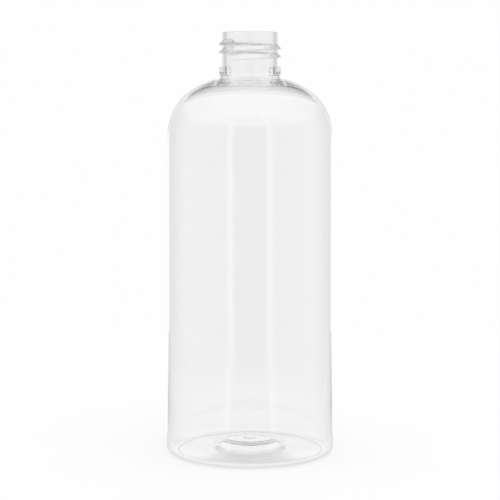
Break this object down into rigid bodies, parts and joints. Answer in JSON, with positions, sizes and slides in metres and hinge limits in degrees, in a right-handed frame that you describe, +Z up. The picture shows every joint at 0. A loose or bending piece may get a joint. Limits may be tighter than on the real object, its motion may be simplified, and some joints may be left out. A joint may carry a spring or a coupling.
{
  "type": "plastic bottle",
  "caption": "Clear round bottle with a domed shoulder, a narrow screw neck with two side lugs, and a pushed-up base, for filling, capping and labelling.",
  "frame": {"origin": "centre of the plane that the base ring stands on", "axes": "+Z up along the bottle's axis to the mouth; -Y is the front, where the thread starts; the two lugs are on +X and -X"},
  "size_m": [0.0654, 0.0654, 0.1632],
  "materials": {
    "clear_pet": "clear and colourless, smooth, high gloss"
  },
  "bodies": {
    "root": {"bottle": "clear_pet"}
  },
  "joints": []
}
